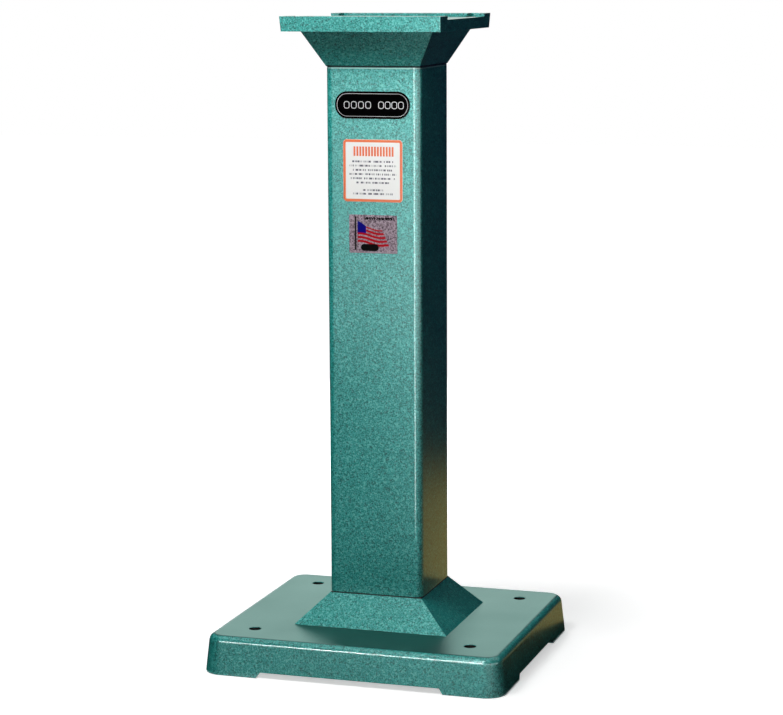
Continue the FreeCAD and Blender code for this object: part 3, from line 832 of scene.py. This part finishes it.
def clean(mesh: bpy.types.Mesh, flatten: bool, merge_mm: float = 0.004, flat_degrees: float = 0.6) -> None:
    """Merge doubles, drop faces with no area, and turn normals outwards on a new surface.

    Args:
        mesh: the mesh to clean.
        flatten: join facets that lie in one plane, and leave the normals as they are.
        merge_mm: vertices closer than this become one.
        flat_degrees: facets that turn less than this lie in one plane.
    """
    work = bmesh.new()
    work.from_mesh(mesh)
    bmesh.ops.remove_doubles(work, verts=work.verts, dist=merge_mm * MM)
    bmesh.ops.dissolve_degenerate(work, edges=work.edges, dist=merge_mm * MM)
    if flatten:
        limit = math.radians(flat_degrees)
        bmesh.ops.dissolve_limit(work, angle_limit=limit, verts=work.verts, edges=work.edges)
    else:
        bmesh.ops.recalc_face_normals(work, faces=work.faces)
    work.to_mesh(mesh)
    work.free()
    mesh.update()


def carried(profile: np.ndarray, half_x: float, half_y: float, radius: float, per_corner: int) -> np.ndarray:
    """Carry a profile round a rectangle with circular corners.

    Point (inset, height) of the profile follows the rectangle shrunk by that inset on all sides, at that
    height. Each corner is a quarter circle about its own centre, taken in turn; the straight sides are the
    steps between. A radius that the inset shrinks to nought or less leaves a square corner.

    Args:
        profile: array of (inset, height).
        half_x: half the rectangle's length.
        half_y: half its width.
        radius: its corner radius.
        per_corner: points on each quarter circle.

    Returns:
        Grid of shape (profile, loop, 3): x, y of the loop and the height.
    """
    inset, height = profile[:, 0, None, None], profile[:, 1, None]
    corner = np.maximum(radius - inset, 0.0)
    turn = np.linspace(0.0, math.pi / 2, per_corner) + np.arange(4)[:, None] * math.pi / 2
    signs = np.array([(1, 1), (-1, 1), (-1, -1), (1, -1)], float)
    x = signs[:, :1] * (half_x - inset - corner) + corner * np.cos(turn)
    y = signs[:, 1:] * (half_y - inset - corner) + corner * np.sin(turn)
    loops = (len(profile), 4 * per_corner)
    return np.stack((x.reshape(loops), y.reshape(loops), np.broadcast_to(height, loops)), axis=-1)


def onto_front(grid: np.ndarray, middle: Pair, face_y: float) -> np.ndarray:
    """Stand a flat grid on the post's front, its middle at x and z: y becomes height, and z points out."""
    return np.stack((grid[..., 0] + middle[0], face_y - grid[..., 2], grid[..., 1] + middle[1]), axis=-1)


def shade(piece: bpy.types.Object, finish: bpy.types.Material, sharp: float) -> bpy.types.Object:
    """Give a piece its finish, slot and body, smooth but for edges sharper than an angle.

    Args:
        piece: the object, already in place.
        finish: its material.
        sharp: degrees above which an edge stays crisp.

    Returns:
        The piece.
    """
    piece.data.materials.clear()
    piece.data.materials.append(finish)
    piece.data.shade_smooth()
    piece.data.set_sharp_from_angle(angle=math.radians(sharp))
    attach(piece, BODY)
    return piece


# ---------------------------------------------------------------- sub-assemblies


@dataclass
class Castings:
    """The four enamelled castings, as softened copies of their solids.

    Each node is listed with its piece's name and the rounding of its edges.
    """

    enamel: bpy.types.Material
    sharp: float = 40.0
    bevel_from: float = 32.0
    bevel_steps: int = 2
    flat_weight: int = 80
    edges_mm: dict[str, tuple[str, float]] = field(default_factory=lambda: {
        "base_casting": ("cast_base", 0.9),
        "lower_collar": ("foot_collar", 0.8),
        "upper_collar": ("head_flare", 0.8),
        "top_plate": ("machine_plate", 1.0),
    })

    def soften(self, piece: bpy.types.Object, width_mm: float) -> None:
        """Round sharp edges with a Bevel and even the normals of flats with a Weighted Normal.

        Args:
            piece: the object.
            width_mm: bevel width.
        """
        bevel = piece.modifiers.new("soft_edges", "BEVEL")
        bevel.width = width_mm * MM
        bevel.segments = self.bevel_steps
        bevel.limit_method = "ANGLE"
        bevel.angle_limit = math.radians(self.bevel_from)
        bevel.miter_outer = "MITER_ARC"
        bevel.use_clamp_overlap = True
        bevel.harden_normals = False
        even = piece.modifiers.new("even_normals", "WEIGHTED_NORMAL")
        even.keep_sharp = False
        even.weight = self.flat_weight

    def soft_copy(self, node: str, name: str, width_mm: float) -> bpy.types.Object:
        """Copy a solid's mesh, merge its loose triangles, join what is flat and round its edges.

        Args:
            node: the CAD node copied and replaced.
            name: the new piece's name.
            width_mm: edge rounding.

        Returns:
            The finished piece.
        """
        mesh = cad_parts[node].data.copy()
        mesh.name = name
        clean(mesh, flatten=True)
        piece = shade(in_scene(name, mesh), self.enamel, self.sharp)
        self.soften(piece, width_mm)
        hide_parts(node)
        return piece

    def build(self) -> list[bpy.types.Object]:
        """Make all four."""
        return [self.soft_copy(node, name, width) for node, (name, width) in self.edges_mm.items()]


@dataclass
class Post:
    """The square tube: an outer and an inner wall joined by rounded sawn ends."""

    enamel: bpy.types.Material
    wall: float = 4.8 * MM
    corner: float = 10.0 * MM
    edge: float = 0.9 * MM
    per_corner: int = 17
    edge_steps: int = 5
    rows: int = 9
    sharp: float = 50.0

    def build(self) -> bpy.types.Object:
        """Carry the wall's closed profile, with quarter-round outer edges, round the rounded square.

        Returns:
            The post.
        """
        low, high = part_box("post_tube")
        turn = np.linspace(0.0, math.pi / 2, self.edge_steps)
        falling, rising = self.edge * (1 - np.sin(turn)), self.edge * (1 - np.cos(turn))
        foot = np.stack((falling, low.z + rising), axis=-1)
        head = np.stack((rising, high.z - falling), axis=-1)
        heights = np.linspace(low.z + self.edge, high.z - self.edge, self.rows)
        outside = np.stack((np.zeros_like(heights), heights), axis=-1)
        inner = np.array([(self.wall, high.z), (self.wall, low.z)])
        profile = np.concatenate((foot[:-1], outside, head[1:], inner))
        grid = carried(profile, high.x, high.y, self.corner, self.per_corner)
        piece = shade(surface("square_post", [grid], (True, True)), self.enamel, self.sharp)
        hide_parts("post_tube")
        return piece


@dataclass
class Nameplate:
    """Pressed plate with round ends: a raised line inside its rim and two groups of plain raised rings."""

    corner: float = 16.5 * MM
    lift_mm: float = 0.02
    field_mm: float = 0.72
    top_mm: float = 1.0
    rim_over_field_mm: float = 0.1
    rim_insets_mm: tuple[float, float, float, float] = (0.12, 0.4, 1.3, 1.7)
    rim_drops_mm: Pair = (0.35, 0.1)
    line_mm: Pair = (2.75, 3.1)
    line_edge_mm: Pair = (0.1, 0.04)
    slope_mm: float = 0.15
    margin_mm: float = 0.4
    rings_x: tuple[float, ...] = (-34.2, -24.6, -15.0, -5.4, 11.8, 20.6, 29.4, 38.2)
    ring_half_mm: Pair = (3.7, 4.6)
    ring_line_mm: float = 0.75
    ring_edge_mm: float = 0.06
    ring_sunk_mm: float = 0.1
    ring_roundness: float = 0.8
    ring_per_corner: int = 7
    per_corner: int = 24
    sharp: float = 25.0

    def ring(self, x_mm: float, middle_z: float, face_y: float) -> np.ndarray:
        """One plain raised ring: outer wall, flat top and inner wall carried round a rounded upright.

        Args:
            x_mm: its middle across the plate.
            middle_z: the plate's middle height, in metres.
            face_y: y of the face that the plate lies on.

        Returns:
            The ring's grid of points.
        """
        root, shoulder = self.field_mm - self.ring_sunk_mm, self.top_mm - self.ring_edge_mm
        line, edge = self.ring_line_mm, self.ring_edge_mm
        profile = np.array([
            (0.0, root), (0.0, shoulder), (edge, self.top_mm),
            (line - edge, self.top_mm), (line, shoulder), (line, root),
        ]) * MM
        half_x, half_z = (half * MM for half in self.ring_half_mm)
        grid = carried(profile, half_x, half_z, half_x * self.ring_roundness, self.ring_per_corner)
        return onto_front(grid, (x_mm * MM, middle_z), face_y)

    def profile(self, half_z_mm: float) -> np.ndarray:
        """Inset and height from the back's middle over the rim, a groove and the raised line to the middle.

        Args:
            half_z_mm: half the plate's height, where the insets meet.

        Returns:
            Array of (inset, height), in metres.
        """
        ground, top = self.field_mm, self.top_mm
        rim, (low_drop, high_drop) = ground + self.rim_over_field_mm, self.rim_drops_mm
        first, second, third, fourth = self.rim_insets_mm
        start, end = self.line_mm
        inward, shoulder = self.line_edge_mm[0], top - self.line_edge_mm[1]
        return np.array([
            (half_z_mm, self.lift_mm), (0.0, self.lift_mm), (0.0, rim - low_drop), (first, rim - high_drop),
            (second, rim), (third, rim), (fourth, ground),
            (start - self.slope_mm, ground), (start, shoulder), (start + inward, top),
            (end - inward, top), (end, shoulder), (end + self.slope_mm, ground),
            (end + self.margin_mm, ground), (half_z_mm, ground),
        ]) * MM

    def build(self) -> bpy.types.Object:
        """Carry the plate's profile round its outline and stand the rings on its field.

        Returns:
            The nameplate.
        """
        low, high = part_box("nameplate")
        half_z, middle_z = (high.z - low.z) / 2, (high.z + low.z) / 2
        plate = carried(self.profile(half_z / MM), high.x, half_z, self.corner, self.per_corner)
        grids = [onto_front(plate, (0.0, middle_z), high.y)]
        grids.extend(self.ring(x, middle_z, high.y) for x in self.rings_x)
        bright = -high.y / MM + (self.field_mm + self.top_mm) / 2
        piece = surface("maker_plate_bare", grids, (False, True))
        shade(piece, BlackPlate(bright).material(), self.sharp)
        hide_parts("nameplate")
        return piece


@dataclass
class Label:
    """A thin printed film with rounded corners, its edge turned down to the post."""

    node: str
    name: str
    slot: Slot
    corner_mm: float
    finish: type[NoticePrint] | type[FoilPrint]
    lift_mm: float = 0.02
    edge_mm: tuple[float, float, float] = (0.05, 0.15, 2.0)
    edge_heights: Pair = (0.6, 0.9)
    per_corner: int = 9
    sharp: float = 60.0

    def build(self) -> bpy.types.Object:
        """Carry a profile from the film's back over a soft edge to the middle of its face.

        Returns:
            The label.
        """
        low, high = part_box(self.node)
        half_x, half_z, middle_z = high.x, (high.z - low.z) / 2, (high.z + low.z) / 2
        thick, middle, lift = high.y - low.y, min(half_x, half_z), self.lift_mm * MM
        first, second, third = (inset * MM for inset in self.edge_mm)
        lower, upper = (share * thick for share in self.edge_heights)
        profile = np.array([
            (middle, lift), (0.0, lift), (0.0, lower), (first, upper),
            (second, thick), (third, thick), (middle, thick),
        ])
        grid = carried(profile, half_x, half_z, self.corner_mm * MM, self.per_corner)
        piece = surface(self.name, [onto_front(grid, (0.0, middle_z), high.y)], (False, True))
        area = Print(middle_z / MM, half_x / MM, half_z / MM, self.corner_mm)
        shade(piece, self.finish(area).material(), self.sharp)
        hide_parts(self.node)
        return piece


@dataclass
class TieRod:
    """The M16 rod with a rolled thread at each end."""

    steel: bpy.types.Material
    radius: float = 8.0 * MM
    pitch: float = 2.0 * MM
    depth: float = 1.1 * MM
    threaded: float = 46.0 * MM
    runout: float = 6.0 * MM
    chamfer: float = 1.2 * MM
    flat: float = 0.125
    around: int = 36
    steps_per_turn: int = 6
    sharp: float = 45.0

    def build(self) -> bpy.types.Object:
        """Take the groove out of the radius.

        The groove is a triangle wave of height over pitch less angle over a full turn, stretched and cut so
        that crest and root are flat. It fades over the run-out, and the tips are chamfered.

        Returns:
            The rod.
        """
        low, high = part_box("tie_rod")
        step = self.pitch / self.steps_per_turn
        foot = np.arange(low.z, low.z + self.threaded, step)
        head = np.arange(high.z - self.threaded, high.z, step)
        z = np.concatenate((foot, head, [high.z]))[:, None]
        angle = np.linspace(0.0, 2 * math.pi, self.around, endpoint=False)[None, :]
        phase = np.mod(z / self.pitch - angle / (2 * math.pi), 1.0)
        wave = (1 + 2 * self.flat) * (1 - np.abs(2 * phase - 1)) - self.flat
        groove = self.depth * np.clip(wave, 0.0, 1.0)
        to_end = np.minimum(z - low.z, high.z - z)
        plain = np.clip((to_end - self.threaded + self.runout) / self.runout, 0.0, 1.0)
        limit = self.radius - self.chamfer + np.minimum(to_end, self.chamfer)
        radius = np.minimum(self.radius - groove * (1 - plain), limit)
        grid = np.stack(np.broadcast_arrays(radius * np.cos(angle), radius * np.sin(angle), z), axis=-1)
        tips = [np.zeros((1, self.around, 3)) + np.array((0.0, 0.0, level)) for level in (low.z, high.z)]
        grid = np.concatenate((tips[0], grid, tips[1]))
        piece = shade(surface("threaded_rod", [grid], (False, True)), self.steel, self.sharp)
        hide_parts("tie_rod")
        return piece


@dataclass
class Fasteners:
    """Nuts, washers and screws: their solids are right and get plated steel."""

    zinc: bpy.types.Material
    nodes: tuple[str, ...] = ("tie_rod_washers", "tie_rod_nuts", "collar_screws", "plate_screws")

    def build(self) -> list[bpy.types.Object]:
        """Put the zinc finish on each node.

        Returns:
            The nodes' objects.
        """
        pieces = [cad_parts[name] for name in self.nodes]
        for piece in pieces:
            piece.data.materials.clear()
            piece.data.materials.append(self.zinc)
        return pieces


# ---------------------------------------------------------------- studio


@dataclass(frozen=True)
class Lamp:
    """One soft box: its place, aim and size in metres, its power, what it gives and its spread in degrees."""

    name: str
    place: Point
    aim: Point
    size: Pair
    watts: float
    gives: Light = Light.BODY
    spread: float = 180.0

    def build(self) -> bpy.types.Object:
        """Turn an area lamp to face its aim, unseen by the camera.

        Returns:
            The lamp.
        """
        data = bpy.data.lights.new(self.name, "AREA")
        data.shape = "RECTANGLE"
        data.size, data.size_y = self.size
        data.energy = self.watts
        data.spread = math.radians(self.spread)
        made = in_scene(self.name, data)
        turned = (Vector(self.aim) - Vector(self.place)).to_track_quat("-Z", "Y")
        made.matrix_world = Matrix.Translation(self.place) @ turned.to_matrix().to_4x4()
        made.visible_camera = False
        made.visible_glossy = self.gives is Light.GLOSS
        made.visible_diffuse = self.gives is Light.BODY
        return made


@dataclass(frozen=True)
class Card:
    """A studio card that only reflections see: a sector of floor that sweeps up into a wall.

    Bearings are in degrees from +Y towards +X, other sizes in metres. Over the distances of the fade its
    light goes from the floor's colour to the wall's.
    """

    name: str
    bearings: Pair
    near: float = 0.30
    far: float = 4.0
    height: float = 1.3
    floor: Colour = BLACK
    wall: Colour = BLACK
    fade: Pair = (0.8, 1.5)
    turn_radius: float = 0.5
    lift: float = 0.002
    turn_steps: int = 9
    bearing_steps: int = 49

    def build(self) -> bpy.types.Object:
        """Carry a profile of floor, quarter circle and wall round the origin between the two bearings.

        Returns:
            The card.
        """
        turn = np.linspace(0.0, math.pi / 2, self.turn_steps)
        sweep = self.far - self.turn_radius * (1 - np.sin(turn))
        out = np.concatenate(([self.near], sweep, [self.far]))[:, None]
        climb = self.turn_radius * (1 - np.cos(turn))
        up = np.concatenate(([0.0], climb, [self.height]))[:, None] + self.lift
        angle = np.radians(np.linspace(*self.bearings, self.bearing_steps))[None, :]
        grid = np.stack(np.broadcast_arrays(out * np.sin(angle), out * np.cos(angle), up), axis=-1)
        made = surface(self.name, [grid], (False, False))
        material = bpy.data.materials.new(self.name)
        tree = Tree(material)
        colour = tree.tint(tree.reach().ramp(*self.fade), self.floor, self.wall)
        tree.finish(tree.node("ShaderNodeEmission", {}, {"Color": colour, "Strength": 1.0}))
        made.data.materials.append(material)
        made.visible_camera = made.visible_diffuse = made.visible_transmission = made.visible_shadow = False
        return made


@dataclass(frozen=True)
class Camera:
    """Where the camera stands, in radians and metres about a point over the base, and how it frames.

    The focal length and the shift are in pixels of a picture this many pixels wide.
    """

    azimuth: float = 0.310622
    elevation: float = 0.160267
    roll: float = -0.005138
    distance: float = 3.19366
    target_height: float = 0.445
    slide: Pair = (0.000243, -0.04902)
    focal_pixels: float = 2434.37
    picture_pixels: int = 783
    shift_pixels: Pair = (2.31, 0.695)
    sensor_mm: float = 36.0
    clip_end: float = 60.0

    def build(self) -> bpy.types.Object:
        """Turn the camera's axes by azimuth, elevation and roll, and step back from the target.

        Returns:
            The camera, also set as the scene's.
        """
        a, e, roll = self.azimuth, self.elevation, self.roll
        right = Vector((math.cos(a), math.sin(a), 0.0))
        up = Vector((-math.sin(a) * math.sin(e), math.cos(a) * math.sin(e), math.cos(e)))
        back = Vector((math.sin(a) * math.cos(e), -math.cos(a) * math.cos(e), math.sin(e)))
        target = Vector((0, 0, self.target_height)) + right * self.slide[0] + up * self.slide[1]
        turned_right = right * math.cos(roll) + up * math.sin(roll)
        turned_up = up * math.cos(roll) - right * math.sin(roll)
        axes = Matrix((turned_right, turned_up, back)).transposed().to_4x4()
        data = bpy.data.cameras.new("camera")
        data.sensor_fit = "HORIZONTAL"
        data.sensor_width = self.sensor_mm
        data.lens = self.focal_pixels * self.sensor_mm / self.picture_pixels
        data.shift_x, data.shift_y = (pixels / self.picture_pixels for pixels in self.shift_pixels)
        data.clip_end = self.clip_end
        made = in_scene("camera", data)
        made.matrix_world = Matrix.Translation(target + back * self.distance) @ axes
        bpy.context.scene.camera = made
        return made


@dataclass
class Studio:
    """Pale floor, soft lamps, cards seen in reflections, world and camera."""

    floor_reach: float = 9.0
    floor_drop: float = 0.0002
    floor_lines: int = 25
    floor_paint: Colour = grey(0.8)
    floor_bounce: Colour = grey(0.10)
    shadow_floor: Colour = grey(0.55)
    shadow_edge: Pair = (0.25, 0.75)
    ambient: float = 0.03
    camera: Camera = Camera()

    # Three boxes for the front, one for the back and three for highlights. Each has its place, its aim, its
    # size and its power.
    lamps: tuple[Lamp, ...] = (
        Lamp("key_box", (-0.50, -0.92, 1.75), (0.0, -0.06, 0.60), (0.6, 0.6), 15.4),
        Lamp("near_box", (0.00, -0.75, 1.32), (0.0, -0.06, 0.68), (0.5, 0.3), 4.4),
        Lamp("front_box", (-0.03, -1.75, 0.82), (0.0, -0.05, 0.70), (0.25, 0.95), 3.3),
        Lamp("rear_box", (-0.70, 1.90, 0.80), (0.0, 0.05, 0.40), (1.2, 0.8), 18.0),
        Lamp("corner_glint", (0.08, -0.58, 0.70), (0.07, -0.08, 0.70), (0.13, 0.60), 3.3, Light.GLOSS),
        Lamp("corner_glow", (0.08, -0.58, 0.24), (0.07, -0.08, 0.24), (0.13, 0.32), 1.4, Light.GLOSS),
        Lamp("edge_glint", (-1.2, -3.6, 1.2), (0.0, -0.17, -0.1), (1.0, 0.45), 0.55, Light.GLOSS, 12.0),
    )

    # Dark to the left and close by, warm to navy on the right, bright in front. Those in front get lighter
    # with distance, so that the post's gloss falls off towards its foot. A pale one behind gives the deck its
    # sheen.
    cards: tuple[Card, ...] = (
        Card("card_close", (-4.0, 212.0), near=0.165, far=0.30, height=0.001, turn_radius=0.001),
        Card("card_right", (-4.0, 84.0), height=3.2, floor=(0.35, 0.28, 0.09), wall=(0.0, 0.004, 0.026)),
        Card("card_left", (-148.0, -32.0), near=0.25, height=5.5),
        Card("card_turn", (84.0, 125.0), wall=grey(3.0), fade=(1.9, 4.3)),
        Card("card_side", (125.0, 165.0), wall=grey(5.0), fade=(1.4, 4.3)),
        Card("card_bounce", (165.0, 212.0), wall=grey(2.25), fade=(1.8, 4.3)),
        Card("card_sky", (84.0, 212.0), near=4.05, far=4.10, height=5.5, turn_radius=0.05),
        Card("card_rear_floor", (-32.0, -4.0), height=0.05, turn_radius=0.04),
        Card("card_rear", (-32.0, -4.0), 3.85, 3.95, 3.0, grey(1.9), grey(1.9), turn_radius=0.05),
    )

    def seen(self, tree: Tree) -> Wire:
        """Tell rays that show the background from those that light the stand.

        Args:
            tree: the tree of the world or of a stage material.

        Returns:
            One for camera, glossy and transmission rays, nought for the rest.
        """
        camera, glossy, transmission = (
            tree.node("ShaderNodeLightPath", {}, {}, f"Is {kind} Ray")
            for kind in ("Camera", "Glossy", "Transmission")
        )
        return camera | glossy | transmission

    def floor(self) -> bpy.types.Object:
        """Lay a level sheet, white where seen, that keeps a soft shadow near the stand.

        To bounced light it is darker, so that it doesn't light the stand from below.

        Returns:
            The floor.
        """
        line = np.linspace(-self.floor_reach, self.floor_reach, self.floor_lines)
        x, y = np.meshgrid(line, line, indexing="ij")
        grid = np.stack((x, y, np.full_like(x, -self.floor_drop)), axis=-1)
        made = surface("studio_floor", [grid[:, ::-1]], (False, False))
        material = bpy.data.materials.new("studio_floor")
        tree = Tree(material)
        glow = tree.tint(tree.reach().ramp(*self.shadow_edge), self.shadow_floor, WHITE)
        shown = tree.node("ShaderNodeAddShader", {}, {
            0: tree.node("ShaderNodeEmission", {}, {"Color": glow, "Strength": 1.0}),
            1: tree.node("ShaderNodeBsdfDiffuse", {}, {"Color": opaque(self.floor_paint)}),
        })
        bounce = tree.node("ShaderNodeBsdfDiffuse", {}, {"Color": opaque(self.floor_bounce)})
        tree.finish(tree.node("ShaderNodeMixShader", {}, {0: self.seen(tree), 1: bounce, 2: shown}))
        made.data.materials.append(material)
        return made

    def world(self) -> None:
        """White where seen directly or in gloss, a low even level for diffuse light."""
        world = bpy.data.worlds.new("studio")
        bpy.context.scene.world = world
        tree = Tree(world, "ShaderNodeOutputWorld")
        low, high = (
            tree.node("ShaderNodeBackground", {}, {"Color": opaque(WHITE), "Strength": strength})
            for strength in (self.ambient, 1.0)
        )
        tree.finish(tree.node("ShaderNodeMixShader", {}, {0: self.seen(tree), 1: low, 2: high}))

    def build(self) -> None:
        """Set the view transform and build everything round the stand."""
        bpy.context.scene.view_settings.view_transform = "Standard"
        self.world()
        self.floor()
        for item in (*self.lamps, *self.cards, self.camera):
            item.build()


# ---------------------------------------------------------------- the stand


def report(pieces: Sequence[bpy.types.Object]) -> None:
    """Log each piece's name and its count of faces."""
    for piece in pieces:
        log.info("%s: %d faces", piece.name, len(piece.data.polygons))


def main() -> None:
    """Build the stand piece by piece, then the studio."""
    logging.basicConfig(level=logging.INFO, format="%(message)s")
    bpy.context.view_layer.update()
    foot, head = (corner.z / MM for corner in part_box("post_tube"))
    enamel = HammeredEnamel(foot_seam_mm=foot, head_seam_mm=head).material()
    zinc = Metal(Slot.ZINC, colour=(0.60, 0.60, 0.57), stain=(0.42, 0.41, 0.36), roughness=0.34).material()
    steel = Metal(Slot.STEEL, colour=(0.34, 0.33, 0.32), stain=(0.20, 0.17, 0.14), roughness=0.42).material()
    report(Castings(enamel).build())
    report([Post(enamel).build(), Nameplate().build(), TieRod(steel).build()])
    labels = (
        Label("notice_label", "notice_sheet", Slot.VINYL, corner_mm=5.0, finish=NoticePrint),
        Label("foil_label", "foil_sheet", Slot.FOIL, corner_mm=1.0, finish=FoilPrint),
    )
    report([label.build() for label in labels])
    report(Fasteners(zinc).build())
    Studio().build()
    bpy.context.view_layer.update()


if __name__ == "__main__":
    main()
